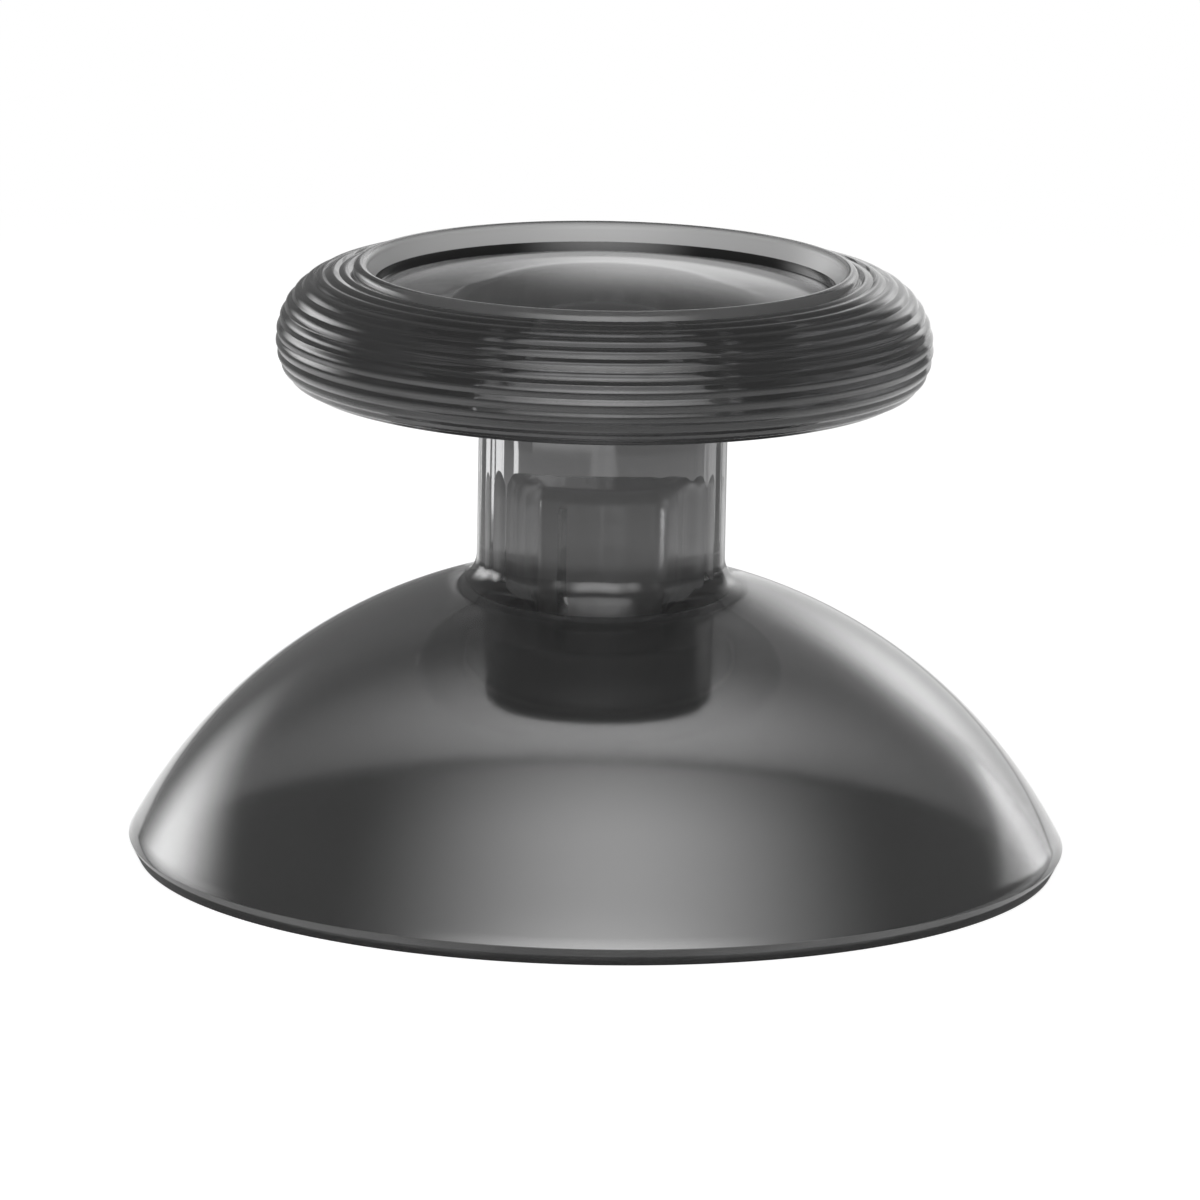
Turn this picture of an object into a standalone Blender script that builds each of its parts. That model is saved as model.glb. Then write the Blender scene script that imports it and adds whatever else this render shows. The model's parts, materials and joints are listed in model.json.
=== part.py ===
"""Controller thumbstick, one moulding in smoke-tinted clear plastic.

A grooved mushroom head with a raised lip and a shallow crown stands on a round neck.
The neck opens into a thin spherical skirt, and a boss inside the skirt takes the stem
of the stick module in a double-D socket. The whole part is a turned profile with the
socket cut into it from below.

Metres, +Z up. The origin is the centre of the flat ring that the skirt stands on.
"""
import math

import bpy
import bmesh

# Overall sizes
HEIGHT = 0.01662
HEAD_DIAMETER = 0.0181
NECK_DIAMETER = 0.00684

# Skirt: a spherical shell whose centre is the pivot of the stick
SKIRT_RADIUS = 0.01464
PIVOT_BELOW_BASE = 0.0063
SKIRT_WALL = 0.0010
EDGE_CHAMFER_HEIGHT = 0.0005
EDGE_CHAMFER_WIDTH = 0.00026
NECK_FILLET = 0.0007

# Head: a round shoulder, a tighter lower edge that leaves it at EDGE_START, and a
# shallow cone underneath
SHOULDER_RADIUS = 0.00188
EDGE_RADIUS = 0.00102
EDGE_START = math.radians(-20.0)
UNDERSIDE_SLOPE = math.radians(5.0)
UNDERSIDE_FILLET = 0.0006

# Grip: round ridges side by side, with sharp valleys between them
RIDGES = 13
RIDGE_HEIGHT = 0.00011

# Lip and crown
LIP_DIAMETER = 0.0139
LIP_WALL = 0.00002
LIP_CREST_RADIUS = 0.0002
LIP_BEVEL_DEPTH = 0.00058
LIP_BEVEL_WIDTH = 0.00014
GUTTER_WIDTH = 0.0001
GUTTER_DEPTH = 0.0001
CROWN_BELOW_LIP = 0.00008

# Boss and socket
BOSS_DIAMETER = 0.0062
BOSS_ABOVE_BASE = 0.00415
BOSS_FILLET = 0.0004
BOSS_CHAMFER = 0.00025
STEM_DIAMETER = 0.0040
STEM_ACROSS_FLATS = 0.0028
STEM_CLEARANCE = 0.00005
SOCKET_DEPTH = 0.0066
SOCKET_LEAD_IN = 0.0003

# Fineness of the curves
TURN_STEPS = 48
RIDGE_STEPS = 4
SPHERE_STEPS = 10
CROWN_STEPS = 6
FILLET_STEPS = 4
SOCKET_ARC_STEPS = 8


def polar(centre, radius, angle):
    return (centre[0] + radius * math.cos(angle), centre[1] + radius * math.sin(angle))


def arc(centre, radius, start, end, steps):
    """Points from one angle to another, both ends included."""
    angles = [start + (end - start) * step / steps for step in range(steps + 1)]
    return [polar(centre, radius, angle) for angle in angles]


# Places that follow from the sizes, as radius and height
NECK_RADIUS = NECK_DIAMETER / 2
BOSS_RADIUS = BOSS_DIAMETER / 2
BALL_CENTRE = (0.0, -PIVOT_BELOW_BASE)
SHOULDER_TOP = HEIGHT - LIP_CREST_RADIUS - LIP_WALL
SHOULDER_CENTRE = (HEAD_DIAMETER / 2 - SHOULDER_RADIUS, SHOULDER_TOP - SHOULDER_RADIUS)
EDGE_CENTRE = polar(SHOULDER_CENTRE, SHOULDER_RADIUS - EDGE_RADIUS, EDGE_START)


def ball_height(radius, distance):
    """Height of a point of the ball of this radius, at this distance from the axis."""
    return BALL_CENTRE[1] + math.sqrt(radius ** 2 - distance ** 2)


def ball_angle(point):
    return math.atan2(point[1] - BALL_CENTRE[1], point[0])


def crown():
    """The top face: a shallow dome from the axis to the gutter inside the lip."""
    edge_radius = LIP_DIAMETER / 2 - 2 * LIP_CREST_RADIUS - LIP_BEVEL_WIDTH - GUTTER_WIDTH
    top = HEIGHT - CROWN_BELOW_LIP
    floor = HEIGHT - LIP_BEVEL_DEPTH - GUTTER_DEPTH
    rise = top - floor
    curve_radius = (edge_radius ** 2 + rise ** 2) / (2 * rise)
    spread = math.asin(edge_radius / curve_radius)
    up = math.pi / 2
    return arc((0.0, top - curve_radius), curve_radius, up, up - spread, CROWN_STEPS)


def lip():
    """The raised lip: gutter wall, inner bevel, round crest and outer wall."""
    crest_centre = (LIP_DIAMETER / 2 - LIP_CREST_RADIUS, HEIGHT - LIP_CREST_RADIUS)
    bevel_foot = crest_centre[0] - LIP_CREST_RADIUS - LIP_BEVEL_WIDTH
    bevel_floor = HEIGHT - LIP_BEVEL_DEPTH
    crest = arc(crest_centre, LIP_CREST_RADIUS, math.pi, 0.0, FILLET_STEPS)
    return [(bevel_foot, bevel_floor - GUTTER_DEPTH), (bevel_foot, bevel_floor)] + crest


def rim_path():
    """The head's outline without ridges, from the lip to the underside.

    It gives a function from a distance along the outline to a point and its outward
    normal's angle, and the outline's whole length.
    """
    lip_foot = (LIP_DIAMETER / 2 - SHOULDER_CENTRE[0]) / SHOULDER_RADIUS
    start = math.acos(lip_foot)
    end = UNDERSIDE_SLOPE - math.pi / 2
    shoulder_length = SHOULDER_RADIUS * (start - EDGE_START)
    length = shoulder_length + EDGE_RADIUS * (EDGE_START - end)

    def place(distance):
        if distance < shoulder_length:
            angle = start - distance / SHOULDER_RADIUS
            return polar(SHOULDER_CENTRE, SHOULDER_RADIUS, angle), angle
        angle = EDGE_START - (distance - shoulder_length) / EDGE_RADIUS
        return polar(EDGE_CENTRE, EDGE_RADIUS, angle), angle

    return place, length


def ridged_rim():
    """The grip: the head's outline cut into rounded ridges."""
    place, length = rim_path()
    points = []
    for step in range(RIDGES * RIDGE_STEPS + 1):
        point, normal = place(length * step / (RIDGES * RIDGE_STEPS))
        depth = RIDGE_HEIGHT * (1 - math.sin(math.pi * (step % RIDGE_STEPS) / RIDGE_STEPS))
        points.append(polar(point, -depth, normal))
    return points


def underside_fillet():
    """The round corner where the cone below the head meets the neck."""
    edge_end = polar(EDGE_CENTRE, EDGE_RADIUS, UNDERSIDE_SLOPE - math.pi / 2)
    centre_radius = NECK_RADIUS + UNDERSIDE_FILLET
    cone_height = edge_end[1] - (edge_end[0] - centre_radius) * math.tan(UNDERSIDE_SLOPE)
    centre = (centre_radius, cone_height - UNDERSIDE_FILLET / math.cos(UNDERSIDE_SLOPE))
    start = math.pi / 2 + UNDERSIDE_SLOPE
    return arc(centre, UNDERSIDE_FILLET, start, math.pi, FILLET_STEPS)


def neck_fillet():
    """The round corner where the neck meets the skirt."""
    centre_radius = NECK_RADIUS + NECK_FILLET
    centre = (centre_radius, ball_height(SKIRT_RADIUS + NECK_FILLET, centre_radius))
    end = ball_angle(centre) + math.pi
    return arc(centre, NECK_FILLET, math.pi, end, FILLET_STEPS)


def skirt_outside(start):
    """The skirt's outer ball, from the neck fillet to the chamfer at the rim."""
    height = EDGE_CHAMFER_HEIGHT + PIVOT_BELOW_BASE
    end = math.asin(height / SKIRT_RADIUS)
    points = arc(BALL_CENTRE, SKIRT_RADIUS, ball_angle(start), end, SPHERE_STEPS)
    foot = (points[-1][0] - EDGE_CHAMFER_WIDTH, 0.0)
    return points[1:] + [foot]


def skirt_inside(end):
    """The skirt's inner ball, from the standing ring to the boss fillet."""
    radius = SKIRT_RADIUS - SKIRT_WALL
    start = math.asin(PIVOT_BELOW_BASE / radius)
    return arc(BALL_CENTRE, radius, start, ball_angle(end), SPHERE_STEPS)[:-1]


def boss_fillet():
    """The round corner where the boss leaves the inside of the skirt."""
    centre_radius = BOSS_RADIUS + BOSS_FILLET
    inner_radius = SKIRT_RADIUS - SKIRT_WALL
    centre = (centre_radius, ball_height(inner_radius - BOSS_FILLET, centre_radius))
    return arc(centre, BOSS_FILLET, ball_angle(centre), math.pi, FILLET_STEPS)


def boss_end():
    """The boss's chamfered lower end, closed at the axis."""
    return [
        (BOSS_RADIUS, BOSS_ABOVE_BASE + BOSS_CHAMFER),
        (BOSS_RADIUS - BOSS_CHAMFER, BOSS_ABOVE_BASE),
        (0.0, BOSS_ABOVE_BASE),
    ]


def turned_profile():
    """The half section, from the top of the crown round the outside to the boss."""
    corner = neck_fillet()
    root = boss_fillet()
    return (crown() + lip() + ridged_rim() + underside_fillet() + corner
            + skirt_outside(corner[-1]) + skirt_inside(root[0]) + root + boss_end())


def socket_outline(margin):
    """A double-D round the stem, grown by a margin: its two flats face along X."""
    radius = STEM_DIAMETER / 2 + margin
    half_flats = STEM_ACROSS_FLATS / 2 + margin
    spread = math.asin(half_flats / radius)
    centre = (0.0, 0.0)
    back_middle = math.pi / 2
    front_middle = -math.pi / 2
    back = arc(centre, radius, back_middle - spread, back_middle + spread, SOCKET_ARC_STEPS)
    front = arc(centre, radius, front_middle - spread, front_middle + spread,
                SOCKET_ARC_STEPS)
    return back + front


def make_profile_mesh(name, points):
    mesh = bpy.data.meshes.new(name)
    edges = [(index, index + 1) for index in range(len(points) - 1)]
    mesh.from_pydata([(radius, 0.0, height) for radius, height in points], edges, [])
    return mesh


def make_socket_cutter():
    """The hollow of the socket: a double-D prism that widens at its mouth."""
    mouth = BOSS_ABOVE_BASE
    lead_in = SOCKET_LEAD_IN
    sections = [
        (STEM_CLEARANCE + 2 * lead_in, mouth - lead_in),
        (STEM_CLEARANCE, mouth + lead_in),
        (STEM_CLEARANCE, mouth + SOCKET_DEPTH),
    ]
    shape = bmesh.new()
    loops = [[shape.verts.new((x, y, height)) for x, y in socket_outline(margin)]
             for margin, height in sections]
    count = len(loops[0])
    for lower, upper in zip(loops, loops[1:]):
        for index in range(count):
            following = (index + 1) % count
            shape.faces.new((lower[index], lower[following], upper[following], upper[index]))
    shape.faces.new(reversed(loops[0]))
    shape.faces.new(loops[-1])
    bmesh.ops.recalc_face_normals(shape, faces=shape.faces)
    mesh = bpy.data.meshes.new("socket_cutter")
    shape.to_mesh(mesh)
    shape.free()
    cutter = bpy.data.objects.new("socket_cutter", mesh)
    cutter.hide_render = True
    cutter.display_type = "WIRE"
    bpy.context.scene.collection.objects.link(cutter)
    return cutter


def make_smoke_plastic():
    """Clear polycarbonate with a neutral smoke tint and a polished mould finish."""
    material = bpy.data.materials.new("smoke_plastic")
    material.use_nodes = True
    shader = material.node_tree.nodes["Principled BSDF"]
    shader.inputs["Base Color"].default_value = (0.12, 0.12, 0.125, 1.0)
    shader.inputs["Metallic"].default_value = 0.0
    shader.inputs["Roughness"].default_value = 0.08
    shader.inputs["IOR"].default_value = 1.58
    shader.inputs["Transmission Weight"].default_value = 0.7
    return material


def make_thumbstick():
    mesh = make_profile_mesh("thumbstick", turned_profile())
    stick = bpy.data.objects.new("thumbstick", mesh)
    bpy.context.scene.collection.objects.link(stick)
    mesh.materials.append(make_smoke_plastic())

    turning = stick.modifiers.new("turned profile", "SCREW")
    turning.axis = "Z"
    turning.angle = math.tau
    turning.screw_offset = 0.0
    turning.steps = TURN_STEPS
    turning.render_steps = TURN_STEPS
    turning.use_merge_vertices = True
    turning.merge_threshold = 0.000002
    turning.use_smooth_shade = True

    cut = stick.modifiers.new("socket", "BOOLEAN")
    cut.operation = "DIFFERENCE"
    cut.solver = "EXACT"
    cut.object = make_socket_cutter()
    return stick


def main():
    for item in list(bpy.data.objects):
        bpy.data.objects.remove(item, do_unlink=True)
    make_thumbstick()


main()
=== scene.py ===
"""Looks of the controller thumbstick: one moulding in smoke-tinted clear plastic.

The stick is a finely turned skin that stands for the faceted solid of the frame. Its
half section runs from the crown over the lip, the grip ridges, the neck and the thin
skirt to the boss and its double-D socket, with every corner softly rounded as a mould
leaves it. Light is absorbed inside the plastic, so thick places are darker than thin ones.

Metres, +Z up. The origin is the centre of the ring that the skirt stands on.
"""
import json
import math

import bpy
from mathutils import Matrix, Vector


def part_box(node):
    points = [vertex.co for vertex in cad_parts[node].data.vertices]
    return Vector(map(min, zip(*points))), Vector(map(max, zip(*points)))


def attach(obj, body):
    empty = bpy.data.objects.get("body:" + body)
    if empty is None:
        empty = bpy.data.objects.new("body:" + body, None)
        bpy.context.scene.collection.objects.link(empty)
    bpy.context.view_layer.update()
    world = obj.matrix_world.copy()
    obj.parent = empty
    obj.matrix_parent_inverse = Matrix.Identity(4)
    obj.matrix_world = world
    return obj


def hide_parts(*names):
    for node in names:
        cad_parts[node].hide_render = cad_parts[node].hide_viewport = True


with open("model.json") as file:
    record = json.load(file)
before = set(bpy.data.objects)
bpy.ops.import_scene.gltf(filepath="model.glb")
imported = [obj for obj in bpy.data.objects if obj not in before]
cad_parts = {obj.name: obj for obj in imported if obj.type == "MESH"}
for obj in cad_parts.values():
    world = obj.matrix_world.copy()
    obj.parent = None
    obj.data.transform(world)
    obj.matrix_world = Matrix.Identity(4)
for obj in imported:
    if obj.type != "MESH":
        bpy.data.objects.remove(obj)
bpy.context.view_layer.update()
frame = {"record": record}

MM = 0.001

# Sizes that the frame gives
MOUNTS = {mount["name"]: Vector(mount["pos_m"]) for mount in frame["record"]["mounts"]}
BODY_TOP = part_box("thumbstick")[1]
HEIGHT = BODY_TOP.z
SKIRT_EDGE_RADIUS = BODY_TOP.x
BOSS_ABOVE_BASE = MOUNTS["boss_face"].z
SOCKET_END = MOUNTS["stem_seat"].z
SOCKET_HALF_FLATS = abs(MOUNTS["socket_flat"].x)

# Neck and head
NECK_RADIUS = 3.42 * MM
HEAD_RADIUS = 9.05 * MM
SHOULDER_RADIUS = 1.88 * MM
EDGE_RADIUS = 1.02 * MM
EDGE_START = math.radians(-20.0)
UNDERSIDE_SLOPE = math.radians(5.0)
UNDERSIDE_FILLET = 0.6 * MM
RIDGES = 13
RIDGE_HEIGHT = 0.055 * MM

# Lip and crown
LIP_RADIUS = 6.95 * MM
LIP_WALL = 0.02 * MM
LIP_CREST_RADIUS = 0.2 * MM
LIP_BEVEL_DEPTH = 0.52 * MM
LIP_BEVEL_WIDTH = 0.2 * MM
GUTTER_WIDTH = 0.1 * MM
GUTTER_DEPTH = 0.26 * MM
CROWN_BELOW_LIP = 0.08 * MM

# Skirt, boss and socket
PIVOT_BELOW_BASE = 6.3 * MM
SKIRT_WALL = 1.0 * MM
EDGE_CHAMFER_HEIGHT = 0.5 * MM
EDGE_CHAMFER_WIDTH = 0.26 * MM
NECK_FILLET = 0.7 * MM
BOSS_RADIUS = 3.1 * MM
BOSS_FILLET = 0.4 * MM
BOSS_CHAMFER = 0.25 * MM
SOCKET_RADIUS = 2.05 * MM
SOCKET_LEAD_IN = 0.3 * MM
SOCKET_END_FILLET = 0.5 * MM
SOCKET_CORNER_POWER = 60

# Waves round the socket and the neck: how many, how deep as a share of the radius, turn
SOCKET_FLUTES = [(9, 0.004, 0.7), (16, 0.0025, 2.1), (27, 0.0015, 0.3)]
NECK_STREAKS = [(17, 0.0028, 0.4), (26, 0.0024, 2.7), (35, 0.0015, 1.2)]
NECK_STREAK_REACH = 0.3 * MM

# Fineness of the turned skin
SAMPLE_STEP = 0.01 * MM
ROUNDING_PASSES = 6
LARGEST_TURN = math.radians(12.0)
LONGEST_STEP = 0.55 * MM
SEGMENTS = 224

# Places that follow from the sizes, as radius and height
BALL_CENTRE = (0.0, -PIVOT_BELOW_BASE)
SKIRT_RADIUS = math.hypot(SKIRT_EDGE_RADIUS, EDGE_CHAMFER_HEIGHT + PIVOT_BELOW_BASE)
SHOULDER_TOP = HEIGHT - LIP_CREST_RADIUS - LIP_WALL
SHOULDER_CENTRE = (HEAD_RADIUS - SHOULDER_RADIUS, SHOULDER_TOP - SHOULDER_RADIUS)
LIP_CREST_CENTRE = (LIP_RADIUS - LIP_CREST_RADIUS, HEIGHT - LIP_CREST_RADIUS)
BEVEL_FOOT_RADIUS = LIP_CREST_CENTRE[0] - LIP_CREST_RADIUS - LIP_BEVEL_WIDTH
BEVEL_FLOOR = HEIGHT - LIP_BEVEL_DEPTH
BOSS_TOP = BOSS_ABOVE_BASE + 2 * SKIRT_WALL

# The plastic's surface and inside. The pairs are the least and the most roughness
PLASTIC_IOR = 1.58
SURFACE_TINT = 0.39
# The gutter's near-black colour is painted shade, not a colour of the plastic
GUTTER_PAINTED_SHADE = 0.01
MATT_PALER = 0.09
CLEARNESS = 0.95
POLISHED_ROUGHNESS = (0.03, 0.09)
SATIN_ROUGHNESS = (0.08, 0.14)
MATT_ROUGHNESS = 0.35
SOCKET_MATT = 0.55
BOSS_MATT = 0.4
HAZE_SCALE = 420.0
RIPPLE_SCALE = 500.0
RIPPLE_STRENGTH = 0.004
RIPPLE_DEPTH = 0.02 * MM
SMOKE_COLOUR = (0.5, 0.5, 0.505, 1.0)
SMOKE_DENSITY = 275.0

# The table: its paint, and the glow that the camera sees and that the plastic mirrors.
# The pairs are the distances from the stick over which the glow fades and white begins
TABLE_HALF_SIZE = 3.0
TABLE_PAINT = 0.5
FLOOR_LIFT = 0.85
MIRRORED_LIFT = 0.75
MIRRORED_FADE = (0.03, 0.08)
WHITE_TABLE_START = (0.05, 0.1)

# A strip of light painted on the table under the skirt, brightest in front and weaker towards the
# back
PAINTED_SKIRT_GLOW = 0.9
GLOW_MIDDLE = 0.6 * MM
GLOW_HALF_WIDTH = 7.8 * MM
GLOW_FADE = (1.0 * MM, 16.0 * MM)
GLOW_AT_BACK = 0.5

# The grey room, and the white card in it: its turn to the right, the angles off its middle
# and the sines of the elevation between which it fades
ROOM_LEVEL = 0.36
MIRRORED_ROOM = 0.22
CARD_TURN = math.radians(13.5)
CARD_SIDE_FADE = (math.radians(12.6), math.radians(17.2))
CARD_TOP_FADE = (0.19, 0.44)

# Camera: where the photograph was taken from, seen from the foot of the stick
CAMERA_DISTANCE = 0.2962
CAMERA_HEIGHT = 0.07177
CAMERA_LEAN = math.radians(1.05)
CAMERA_TARGET = Vector((0.0, 0.0, 0.0072))
CAMERA_LENS = 329.0


def polar(centre, radius, angle):
    return (centre[0] + radius * math.cos(angle), centre[1] + radius * math.sin(angle))


def arc(centre, radius, start, end):
    """Points from one angle to another, as close together as the skin is sampled."""
    steps = max(2, math.ceil(abs(end - start) * radius / SAMPLE_STEP))
    angles = [start + (end - start) * step / steps for step in range(steps + 1)]
    return [polar(centre, radius, angle) for angle in angles]


EDGE_CENTRE = polar(SHOULDER_CENTRE, SHOULDER_RADIUS - EDGE_RADIUS, EDGE_START)


def ball_height(radius, distance):
    """Height of a point of the ball of this radius, at this distance from the axis."""
    return BALL_CENTRE[1] + math.sqrt(radius ** 2 - distance ** 2)


def ball_angle(point):
    return math.atan2(point[1] - BALL_CENTRE[1], point[0])


def crown():
    """The top face: a shallow dome from the axis to the gutter inside the lip."""
    edge_radius = BEVEL_FOOT_RADIUS - GUTTER_WIDTH
    top = HEIGHT - CROWN_BELOW_LIP
    rise = LIP_BEVEL_DEPTH + GUTTER_DEPTH - CROWN_BELOW_LIP
    curve_radius = (edge_radius ** 2 + rise ** 2) / (2 * rise)
    spread = math.asin(edge_radius / curve_radius)
    up = math.pi / 2
    dome = arc((0.0, top - curve_radius), curve_radius, up, up - spread)
    return dome + [(BEVEL_FOOT_RADIUS, dome[-1][1])]


def lip():
    """The raised lip: gutter wall, inner bevel, round crest and outer wall."""
    crest = arc(LIP_CREST_CENTRE, LIP_CREST_RADIUS, math.pi, 0.0)
    gutter_floor = BEVEL_FLOOR - GUTTER_DEPTH
    return [(BEVEL_FOOT_RADIUS, gutter_floor), (BEVEL_FOOT_RADIUS, BEVEL_FLOOR)] + crest


def ridged_rim():
    """The grip: the head's outline from the lip to the underside, cut into ridges."""
    start = math.acos((LIP_RADIUS - SHOULDER_CENTRE[0]) / SHOULDER_RADIUS)
    end = UNDERSIDE_SLOPE - math.pi / 2
    shoulder_length = SHOULDER_RADIUS * (start - EDGE_START)
    length = shoulder_length + EDGE_RADIUS * (EDGE_START - end)
    steps = math.ceil(length / SAMPLE_STEP)
    points = []
    for step in range(steps + 1):
        distance = length * step / steps
        if distance < shoulder_length:
            normal = start - distance / SHOULDER_RADIUS
            place = polar(SHOULDER_CENTRE, SHOULDER_RADIUS, normal)
        else:
            normal = EDGE_START - (distance - shoulder_length) / EDGE_RADIUS
            place = polar(EDGE_CENTRE, EDGE_RADIUS, normal)
        swell = abs(math.sin(math.pi * RIDGES * step / steps))
        points.append(polar(place, -RIDGE_HEIGHT * (1 - swell), normal))
    return points


def underside_fillet():
    """The round corner where the cone below the head meets the neck."""
    edge_end = polar(EDGE_CENTRE, EDGE_RADIUS, UNDERSIDE_SLOPE - math.pi / 2)
    centre_radius = NECK_RADIUS + UNDERSIDE_FILLET
    cone_height = edge_end[1] - (edge_end[0] - centre_radius) * math.tan(UNDERSIDE_SLOPE)
    centre = (centre_radius, cone_height - UNDERSIDE_FILLET / math.cos(UNDERSIDE_SLOPE))
    return arc(centre, UNDERSIDE_FILLET, math.pi / 2 + UNDERSIDE_SLOPE, math.pi)


def neck_fillet():
    """The round corner where the neck meets the skirt."""
    centre_radius = NECK_RADIUS + NECK_FILLET
    centre = (centre_radius, ball_height(SKIRT_RADIUS + NECK_FILLET, centre_radius))
    return arc(centre, NECK_FILLET, math.pi, ball_angle(centre) + math.pi)


def skirt_outside(start):
    """The skirt's outer ball and the chamfer at its rim, down to the standing ring."""
    end = math.asin((EDGE_CHAMFER_HEIGHT + PIVOT_BELOW_BASE) / SKIRT_RADIUS)
    points = arc(BALL_CENTRE, SKIRT_RADIUS, ball_angle(start), end)
    return points + [(points[-1][0] - EDGE_CHAMFER_WIDTH, 0.0)]


def skirt_inside(end):
    """The skirt's inner ball, from the standing ring to the boss."""
    radius = SKIRT_RADIUS - SKIRT_WALL
    start = math.asin(PIVOT_BELOW_BASE / radius)
    return arc(BALL_CENTRE, radius, start, ball_angle(end))


def boss_fillet():
    """The round corner where the boss leaves the inside of the skirt."""
    centre_radius = BOSS_RADIUS + BOSS_FILLET
    inner_radius = SKIRT_RADIUS - SKIRT_WALL
    centre = (centre_radius, ball_height(inner_radius - BOSS_FILLET, centre_radius))
    return arc(centre, BOSS_FILLET, ball_angle(centre), math.pi)


def boss_end():
    """The boss's chamfered lower end, up to the edge of the socket's mouth."""
    return [
        (BOSS_RADIUS, BOSS_ABOVE_BASE + BOSS_CHAMFER),
        (BOSS_RADIUS - BOSS_CHAMFER, BOSS_ABOVE_BASE),
        (SOCKET_RADIUS + SOCKET_LEAD_IN, BOSS_ABOVE_BASE),
    ]


def socket_wall():
    """The socket from its mouth to the axis, as the section through its round sides."""
    centre = (SOCKET_RADIUS - SOCKET_END_FILLET, SOCKET_END - SOCKET_END_FILLET)
    corner = arc(centre, SOCKET_END_FILLET, 0.0, math.pi / 2)
    return [(SOCKET_RADIUS, BOSS_ABOVE_BASE + SOCKET_LEAD_IN)] + corner + [(0.0, SOCKET_END)]


def half_section():
    corner = neck_fillet()
    root = boss_fillet()
    return (crown() + lip() + ridged_rim() + underside_fillet() + corner
            + skirt_outside(corner[-1]) + skirt_inside(root[0]) + root
            + boss_end() + socket_wall())


def resampled(points):
    """The same outline with a point at every sample step."""
    result = [points[0]]
    for start, end in zip(points, points[1:]):
        steps = math.ceil(math.dist(start, end) / SAMPLE_STEP)
        for step in range(1, steps + 1):
            share = step / steps
            result.append((start[0] + (end[0] - start[0]) * share,
                           start[1] + (end[1] - start[1]) * share))
    return result


def rounded(points):
    """Repeated averaging of neighbours, which leaves each sharp corner a small radius."""
    for _ in range(ROUNDING_PASSES):
        middle = [((a[0] + 2 * b[0] + c[0]) / 4, (a[1] + 2 * b[1] + c[1]) / 4)
                  for a, b, c in zip(points, points[1:], points[2:])]
        points = [points[0]] + middle + [points[-1]]
    return points


def thinned(points):
    """Only the points that the curve needs: close on tight bends, far apart elsewhere."""
    kept = [points[0]]
    turned = travelled = 0.0
    for before, here, after in zip(points, points[1:], points[2:]):
        arriving = math.atan2(here[1] - before[1], here[0] - before[0])
        leaving = math.atan2(after[1] - here[1], after[0] - here[0])
        turned += abs(math.remainder(leaving - arriving, math.tau))
        travelled += math.dist(before, here)
        if turned >= LARGEST_TURN or travelled >= LONGEST_STEP:
            kept.append(here)
            turned = travelled = 0.0
    return kept + [points[-1]]


def waves(kinds, angle):
    """The sum of waves round the axis at this angle, as a share of the radius."""
    return sum(depth * math.sin(count * angle + turn) for count, depth, turn in kinds)


def ring_share(radius, height, angle):
    """Where a ring of the skin runs at this angle, as a share of its radius.

    The socket's rings are pulled in by its flats and faintly fluted. All others are round,
    apart from faint streaks on those that are about as wide as the neck.
    """
    beside_socket = radius < SOCKET_RADIUS + 2 * SOCKET_LEAD_IN
    if not (beside_socket and height < SOCKET_END + SOCKET_LEAD_IN):
        off_neck = min(1.0, abs(radius - NECK_RADIUS) / NECK_STREAK_REACH)
        return 1.0 + waves(NECK_STREAKS, angle) * (1.0 - off_neck) ** 2
    spare = max(0.0, radius - SOCKET_RADIUS)
    half_flats = (SOCKET_HALF_FLATS + spare) * min(1.0, radius / SOCKET_RADIUS)
    flat = half_flats / max(abs(math.cos(angle)), 1e-6)
    power = SOCKET_CORNER_POWER
    narrow = (radius ** -power + flat ** -power) ** (-1 / power)
    return narrow * (1 + waves(SOCKET_FLUTES, angle)) / radius


def in_socket(radius, height):
    return radius < SOCKET_RADIUS + SAMPLE_STEP and height < SOCKET_END + SAMPLE_STEP


def satin_share(radius, height):
    """1 on the crown, inside the skirt and in the socket, which are duller, and else 0."""
    under_skirt = math.dist((radius, height), BALL_CENTRE) < SKIRT_RADIUS - SKIRT_WALL / 2
    on_crown = radius < LIP_RADIUS - 2 * LIP_CREST_RADIUS and height > SHOULDER_CENTRE[1]
    return float(under_skirt or in_socket(radius, height) or on_crown)


def matt_share(radius, height):
    """1 on the lip's matt inner wall, less on the dull boss and socket, and else 0."""
    if in_socket(radius, height):
        return SOCKET_MATT
    if radius < BOSS_RADIUS + SAMPLE_STEP and height < BOSS_TOP:
        return BOSS_MATT
    if height < BEVEL_FLOOR - SAMPLE_STEP or radius < BEVEL_FOOT_RADIUS - SAMPLE_STEP:
        return 0.0
    inside_crest = LIP_CREST_CENTRE[0] - radius
    return max(0.0, min(1.0, 2 * inside_crest / LIP_CREST_RADIUS - 0.5))


def painted_gutter_shade_share(radius, height):
    """1 in the narrow gutter inside the lip, which is painted black as the shade of that slot,
    and else 0.
    """
    inner = BEVEL_FOOT_RADIUS - GUTTER_WIDTH - SAMPLE_STEP
    within = inner < radius < BEVEL_FOOT_RADIUS + 2 * SAMPLE_STEP
    deep = BEVEL_FLOOR - 2 * GUTTER_DEPTH < height < BEVEL_FLOOR - SAMPLE_STEP
    return float(within and deep)


# Point attributes of the skin, which its material reads. The gutter one marks where black is
# painted as shade
SURFACE_SHARES = {"satin": satin_share, "matt": matt_share, "gutter": painted_gutter_shade_share}


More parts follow.
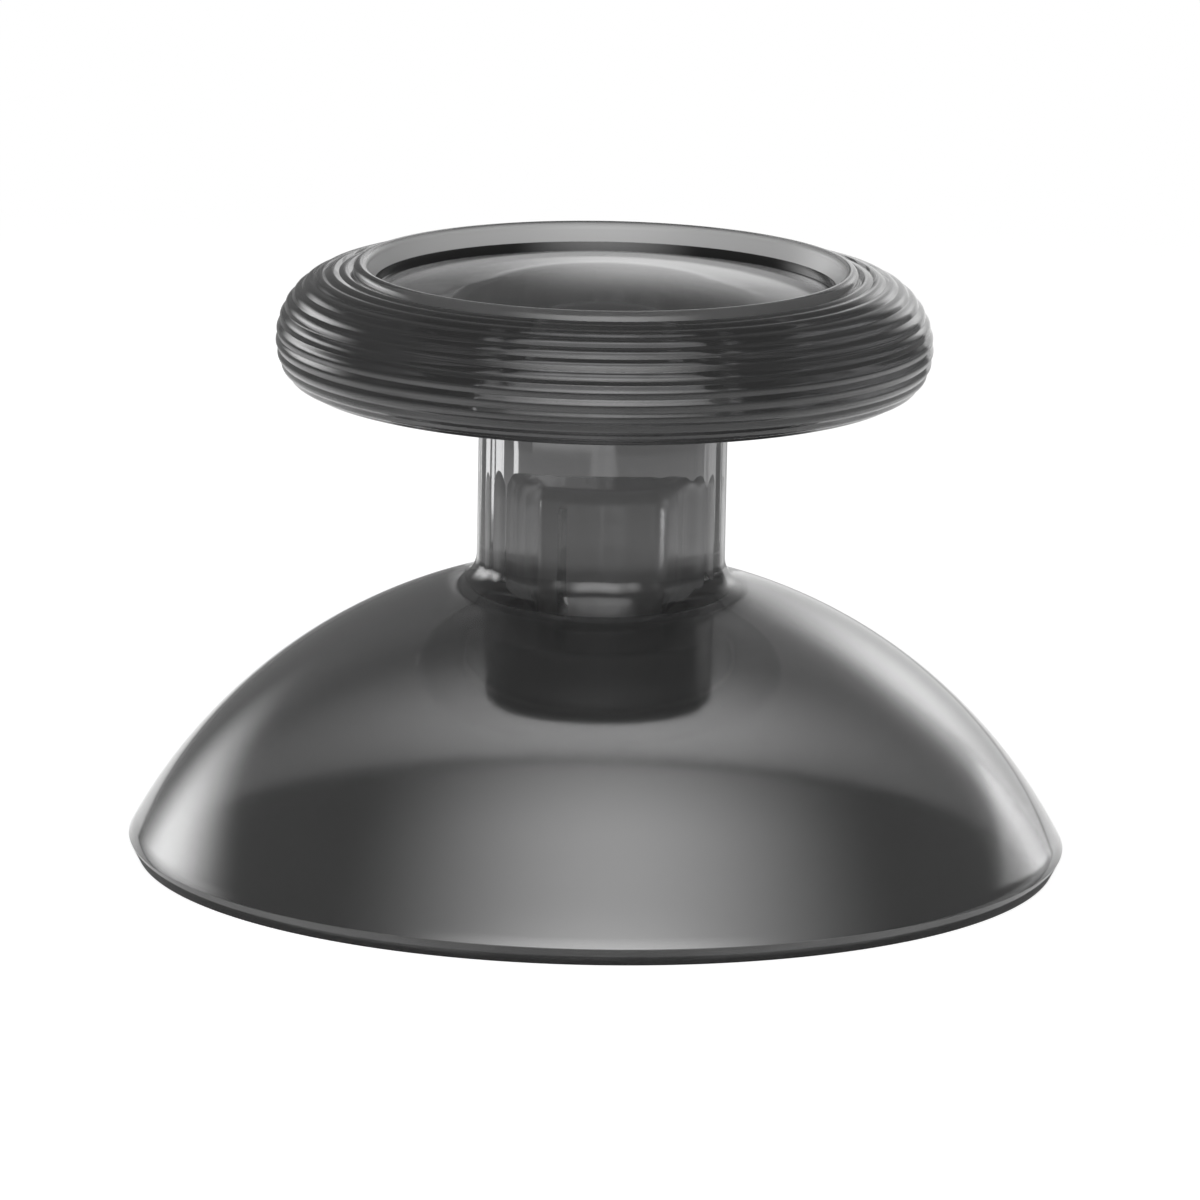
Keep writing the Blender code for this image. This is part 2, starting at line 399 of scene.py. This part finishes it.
def turned_skin(name, section):
    """Spins a half section whose two ends lie on the axis into one closed skin."""
    rings = section[1:-1]
    vertices = []
    for radius, height in rings:
        for segment in range(SEGMENTS):
            angle = math.tau * segment / SEGMENTS
            reach = radius * ring_share(radius, height, angle)
            vertices.append((reach * math.cos(angle), reach * math.sin(angle), height))
    top, end = len(vertices), len(vertices) + 1
    vertices += [(0.0, 0.0, section[0][1]), (0.0, 0.0, section[-1][1])]
    faces = []
    for segment in range(SEGMENTS):
        following = (segment + 1) % SEGMENTS
        faces.append((top, segment, following))
        for ring in range(len(rings) - 1):
            upper, lower = ring * SEGMENTS, (ring + 1) * SEGMENTS
            faces.append((upper + segment, lower + segment, lower + following, upper + following))
        last = (len(rings) - 1) * SEGMENTS
        faces.append((last + segment, end, last + following))
    mesh = bpy.data.meshes.new(name)
    mesh.from_pydata(vertices, [], faces)
    mesh.shade_smooth()
    for attribute_name, share in SURFACE_SHARES.items():
        values = mesh.attributes.new(attribute_name, "FLOAT", "POINT").data
        for vertex in mesh.vertices:
            radius = math.hypot(vertex.co.x, vertex.co.y)
            values[vertex.index].value = share(radius, vertex.co.z)
    skin = bpy.data.objects.new(name, mesh)
    bpy.context.scene.collection.objects.link(skin)
    return skin


class Nodes:
    """A node tree, with short calls to add nodes and join them.

    A term is either a number or a pair: a node and the name or index of its output.
    """

    def __init__(self, tree):
        self.tree = tree
        tree.nodes.clear()

    def add(self, kind, **values):
        node = self.tree.nodes.new(kind)
        for key, value in values.items():
            if hasattr(node, key):
                setattr(node, key, value)
            else:
                node.inputs[key.replace("_", " ")].default_value = value
        return node

    def feed(self, term, node, socket):
        """Sets a node's input to a number, or joins another node's output to it."""
        if isinstance(term, tuple):
            source, output = term
            self.tree.links.new(source.outputs[output], node.inputs[socket])
        else:
            node.inputs[socket].default_value = term

    def math(self, operation, *terms):
        node = self.add("ShaderNodeMath", operation=operation)
        for index, term in enumerate(terms):
            self.feed(term, node, index)
        return node, "Value"

    def vector_math(self, operation, output, *terms):
        """As math, where a number's place is taken by a Vector."""
        node = self.add("ShaderNodeVectorMath", operation=operation)
        for index, term in enumerate(terms):
            self.feed(term, node, index)
        return node, output

    def ramp(self, term, span, ends, kind="LINEAR"):
        """Goes from the first end to the second while the term crosses the span."""
        node = self.add("ShaderNodeMapRange", interpolation_type=kind)
        self.feed(term, node, "Value")
        for value, socket in zip((*span, *ends), ("From Min", "From Max", "To Min", "To Max")):
            self.feed(value, node, socket)
        return node, "Result"

    def soft_ramp(self, term, span, ends):
        return self.ramp(term, span, ends, "SMOOTHSTEP")

    def mix(self, share, first, second):
        """The first term where the share is 0, and the second where it is 1."""
        node = self.add("ShaderNodeMix")
        for term, socket in ((share, 0), (first, 2), (second, 3)):
            self.feed(term, node, socket)
        return node, 0

    def mix_shaders(self, share, first, second):
        node = self.add("ShaderNodeMixShader")
        for index, term in enumerate((share, first, second)):
            self.feed(term, node, index)
        return node, "Shader"

    def axis(self, vector, letter):
        node = self.add("ShaderNodeSeparateXYZ")
        self.feed(vector, node, "Vector")
        return node, letter

    def end(self, kind, **terms):
        """The output node that these terms lead to."""
        node = self.add(kind)
        for socket, term in terms.items():
            self.feed(term, node, socket)


def smoke_plastic():
    """Polished clear plastic that absorbs light evenly across the colours."""
    material = bpy.data.materials.new("smoke_plastic")
    material.use_nodes = True
    nodes = Nodes(material.node_tree)
    place = (nodes.add("ShaderNodeTexCoord"), "Object")
    satin, matt, gutter = [(nodes.add("ShaderNodeAttribute", attribute_name=name), "Fac")
                           for name in SURFACE_SHARES]
    shader = nodes.add("ShaderNodeBsdfPrincipled", IOR=PLASTIC_IOR, Transmission_Weight=CLEARNESS,
                       Base_Color=(SURFACE_TINT, SURFACE_TINT, SURFACE_TINT, 1.0),
                       Roughness=POLISHED_ROUGHNESS[1])

    # In the gutter the colour goes near black and light no longer passes: painted shade
    tint_and_painted_gutter_shade = nodes.ramp(gutter, (0.0, 1.0), (SURFACE_TINT, GUTTER_PAINTED_SHADE))
    nodes.feed(nodes.math("MULTIPLY_ADD", matt, MATT_PALER, tint_and_painted_gutter_shade), shader, "Base Color")
    closed = nodes.math("MAXIMUM", matt, gutter)
    nodes.feed(nodes.ramp(closed, (0.0, 1.0), (CLEARNESS, 0.0)), shader, "Transmission Weight")

    haze = nodes.add("ShaderNodeTexNoise", Scale=HAZE_SCALE, Detail=3.0)
    nodes.feed(place, haze, "Vector")
    polished = nodes.ramp((haze, "Fac"), (0.0, 1.0), POLISHED_ROUGHNESS)
    duller = nodes.ramp((haze, "Fac"), (0.0, 1.0), SATIN_ROUGHNESS)
    clear_roughness = nodes.mix(satin, polished, duller)
    nodes.feed(nodes.mix(matt, clear_roughness, MATT_ROUGHNESS), shader, "Roughness")

    ripple = nodes.add("ShaderNodeTexNoise", Scale=RIPPLE_SCALE, Detail=1.0)
    nodes.feed(place, ripple, "Vector")
    bump = nodes.add("ShaderNodeBump", Strength=RIPPLE_STRENGTH, Distance=RIPPLE_DEPTH)
    nodes.feed((ripple, "Fac"), bump, "Height")
    nodes.feed((bump, "Normal"), shader, "Normal")

    smoke = nodes.add("ShaderNodeVolumeAbsorption", Color=SMOKE_COLOUR, Density=SMOKE_DENSITY)
    nodes.end("ShaderNodeOutputMaterial", Surface=(shader, "BSDF"), Volume=(smoke, "Volume"))
    return material


def thumbstick():
    skin = turned_skin("smoke_thumbstick", thinned(rounded(resampled(half_section()))))
    skin.data.materials.append(smoke_plastic())
    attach(skin, "root")
    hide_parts("thumbstick")


def behind_stick(nodes, place):
    """1 for the directions that the white card covers, seen from the stick."""
    level = nodes.vector_math("MULTIPLY", "Vector", place, Vector((1.0, 1.0, 0.0)))
    unit = nodes.vector_math("NORMALIZE", "Vector", level)
    middle = Vector((math.sin(CARD_TURN), math.cos(CARD_TURN), 0.0))
    nearness = nodes.vector_math("DOT_PRODUCT", "Value", unit, middle)
    inner, outer = CARD_SIDE_FADE
    return nodes.soft_ramp(nearness, (math.cos(outer), math.cos(inner)), (0.0, 1.0))


def painted_skirt_glow(nodes, place):
    """A pool of light painted on the table below the skirt, a soft strip to the front, seen only
    through the plastic.
    """
    shifted = nodes.math("SUBTRACT", nodes.axis(place, "X"), GLOW_MIDDLE)
    aside = nodes.math("ABSOLUTE", shifted)
    across = nodes.soft_ramp(aside, (0.0, GLOW_HALF_WIDTH), (PAINTED_SKIRT_GLOW, 0.0))
    along = nodes.soft_ramp(nodes.axis(place, "Y"), GLOW_FADE, (1.0, GLOW_AT_BACK))
    return nodes.math("MULTIPLY", across, along)


def table_glow(nodes, path, place, distance):
    """The glow near the stick, for rays that see it, mirror it or come through the skirt."""
    seen = nodes.math("MULTIPLY", (path, "Is Camera Ray"), FLOOR_LIFT)
    mirrored = nodes.math("MULTIPLY", (path, "Is Glossy Ray"), MIRRORED_LIFT)
    beyond_skirt = nodes.math("GREATER_THAN", distance, SKIRT_EDGE_RADIUS)
    fading = nodes.soft_ramp(distance, MIRRORED_FADE, (1.0, 0.0))
    around = nodes.math("MULTIPLY", beyond_skirt, fading)
    outside = nodes.math("MULTIPLY_ADD", mirrored, around, seen)
    through = (path, "Is Transmission Ray")
    # Rays through the plastic also see the pool of light painted under the skirt
    return nodes.math("MULTIPLY_ADD", through, painted_skirt_glow(nodes, place), outside)


def white_table():
    """White paint that glows near the stick and is pure white to the eye far from it."""
    material = bpy.data.materials.new("white_table")
    material.use_nodes = True
    nodes = Nodes(material.node_tree)
    path = nodes.add("ShaderNodeLightPath")
    place = (nodes.add("ShaderNodeTexCoord"), "Object")
    distance = nodes.vector_math("LENGTH", "Value", place)
    paint = nodes.add("ShaderNodeBsdfDiffuse", Color=(TABLE_PAINT, TABLE_PAINT, TABLE_PAINT, 1.0))

    glow = nodes.add("ShaderNodeEmission")
    nodes.feed(table_glow(nodes, path, place, distance), glow, "Strength")
    near = nodes.add("ShaderNodeAddShader")
    nodes.feed((paint, "BSDF"), near, 0)
    nodes.feed((glow, "Emission"), near, 1)

    white = nodes.add("ShaderNodeEmission", Strength=1.0)
    away = nodes.soft_ramp(distance, WHITE_TABLE_START, (0.0, 1.0))
    lit = nodes.math("MAXIMUM", behind_stick(nodes, place), (path, "Is Camera Ray"))
    whiteness = nodes.math("MULTIPLY", away, lit)
    shown = nodes.mix_shaders(whiteness, (near, "Shader"), (white, "Emission"))

    seen = nodes.math("MAXIMUM", (path, "Is Camera Ray"), (path, "Is Glossy Ray"))
    shows = nodes.math("MAXIMUM", seen, (path, "Is Transmission Ray"))
    nodes.end("ShaderNodeOutputMaterial",
              Surface=nodes.mix_shaders(shows, (paint, "BSDF"), shown))
    return material


def floor():
    """A wide table that the stick stands on."""
    size = TABLE_HALF_SIZE
    mesh = bpy.data.meshes.new("floor")
    corners = [(-size, -size, 0.0), (size, -size, 0.0), (size, size, 0.0), (-size, size, 0.0)]
    mesh.from_pydata(corners, [], [(0, 1, 2, 3)])
    mesh.materials.append(white_table())
    table = bpy.data.objects.new("floor", mesh)
    bpy.context.scene.collection.objects.link(table)


def surroundings():
    """A white card behind the stick, low down, in a grey room that the camera sees white."""
    world = bpy.data.worlds.new("surroundings")
    bpy.context.scene.world = world
    world.use_nodes = True
    nodes = Nodes(world.node_tree)
    path = nodes.add("ShaderNodeLightPath")
    place = (nodes.add("ShaderNodeTexCoord"), "Generated")
    low = nodes.soft_ramp(nodes.axis(place, "Z"), CARD_TOP_FADE, (1.0, 0.0))
    card = nodes.math("MULTIPLY", low, behind_stick(nodes, place))
    white = nodes.math("MAXIMUM", card, (path, "Is Camera Ray"))
    room = nodes.ramp((path, "Is Glossy Ray"), (0.0, 1.0), (ROOM_LEVEL, MIRRORED_ROOM))
    background = nodes.add("ShaderNodeBackground", Color=(1.0, 1.0, 1.0, 1.0))
    nodes.feed(nodes.ramp(white, (0.0, 1.0), (room, 1.0)), background, "Strength")
    nodes.end("ShaderNodeOutputWorld", Surface=(background, "Background"))


def fading_cloth(light):
    """Makes a lamp's cloth brightest in the middle and dark at its edges."""
    light.use_nodes = True
    nodes = Nodes(light.node_tree)
    place = (nodes.add("ShaderNodeNewGeometry"), "Parametric")
    bows = [nodes.math("SINE", nodes.math("MULTIPLY", nodes.axis(place, letter), math.pi))
            for letter in "XY"]
    soft = nodes.math("POWER", nodes.math("MULTIPLY", *bows), 2.0)
    glow = nodes.add("ShaderNodeEmission")
    nodes.feed(soft, glow, "Strength")
    nodes.end("ShaderNodeOutputLight", Surface=(glow, "Emission"))


def lamp(name, size, radiance):
    """A rectangular light of this width and height, which the camera doesn't see."""
    light = bpy.data.lights.new(name, "AREA")
    light.shape = "RECTANGLE"
    light.size, light.size_y = size
    light.energy = radiance * math.pi * light.size * light.size_y
    holder = bpy.data.objects.new(name, light)
    bpy.context.scene.collection.objects.link(holder)
    holder.visible_camera = False
    return holder


def softbox(name, azimuth, elevation, distance, size, radiance):
    """A rectangular light that faces the stick.

    Azimuth 0 is straight behind the stick as the camera sees it, and positive azimuths
    are on the right.
    """
    turn, rise = math.radians(azimuth), math.radians(elevation)
    direction = Vector((math.sin(turn) * math.cos(rise), math.cos(turn) * math.cos(rise),
                        math.sin(rise)))
    box = lamp(name, size, radiance)
    box.location = direction * distance
    box.rotation_euler = direction.to_track_quat("Z", "Y").to_euler()
    fading_cloth(box.data)


def glow_card(name, place, turn, size, radiance):
    """A small bright card close to the stick that only shows through the plastic."""
    card = lamp(name, size, radiance)
    card.location = place
    card.rotation_euler = (-math.pi / 2, 0.0, math.radians(turn))
    card.visible_glossy = False
    card.visible_diffuse = False
    return card


def lights():
    softbox("right_box", azimuth=25.0, elevation=17.0, distance=0.45, size=(0.28, 0.26),
            radiance=1.2)
    softbox("left_box", azimuth=-54.0, elevation=10.0, distance=0.45, size=(0.54, 0.26),
            radiance=3.9)
    softbox("front_box", azimuth=180.0, elevation=18.0, distance=0.5, size=(1.1, 0.7),
            radiance=3.2)
    skirt_card = glow_card("skirt_card", place=(0.0006, 0.0165, 0.001), turn=0.0,
                           size=(0.024, 0.006), radiance=1.8)
    fading_cloth(skirt_card.data)
    glow_card("right_card", place=(0.0361, 0.0268, 0.005), turn=-53.5, size=(0.024, 0.010),
              radiance=4.2)
    glow_card("left_card", place=(-0.0377, 0.0245, 0.005), turn=57.0, size=(0.019, 0.010),
              radiance=0.9)


def camera():
    """A long lens at the place that the photograph was taken from."""
    lens = bpy.data.cameras.new("camera")
    lens.lens = CAMERA_LENS
    lens.sensor_width = 36.0
    lens.clip_start = 0.01
    lens.clip_end = 10.0
    seat = bpy.data.objects.new("camera", lens)
    bpy.context.scene.collection.objects.link(seat)
    seat.location = (0.0, -CAMERA_DISTANCE, CAMERA_HEIGHT)
    aim = (seat.location - CAMERA_TARGET).to_track_quat("Z", "Y").to_matrix()
    seat.rotation_euler = (aim @ Matrix.Rotation(CAMERA_LEAN, 3, "Z")).to_euler()
    bpy.context.scene.camera = seat


thumbstick()
floor()
surroundings()
lights()
camera()
bpy.context.scene.view_settings.view_transform = "Standard"
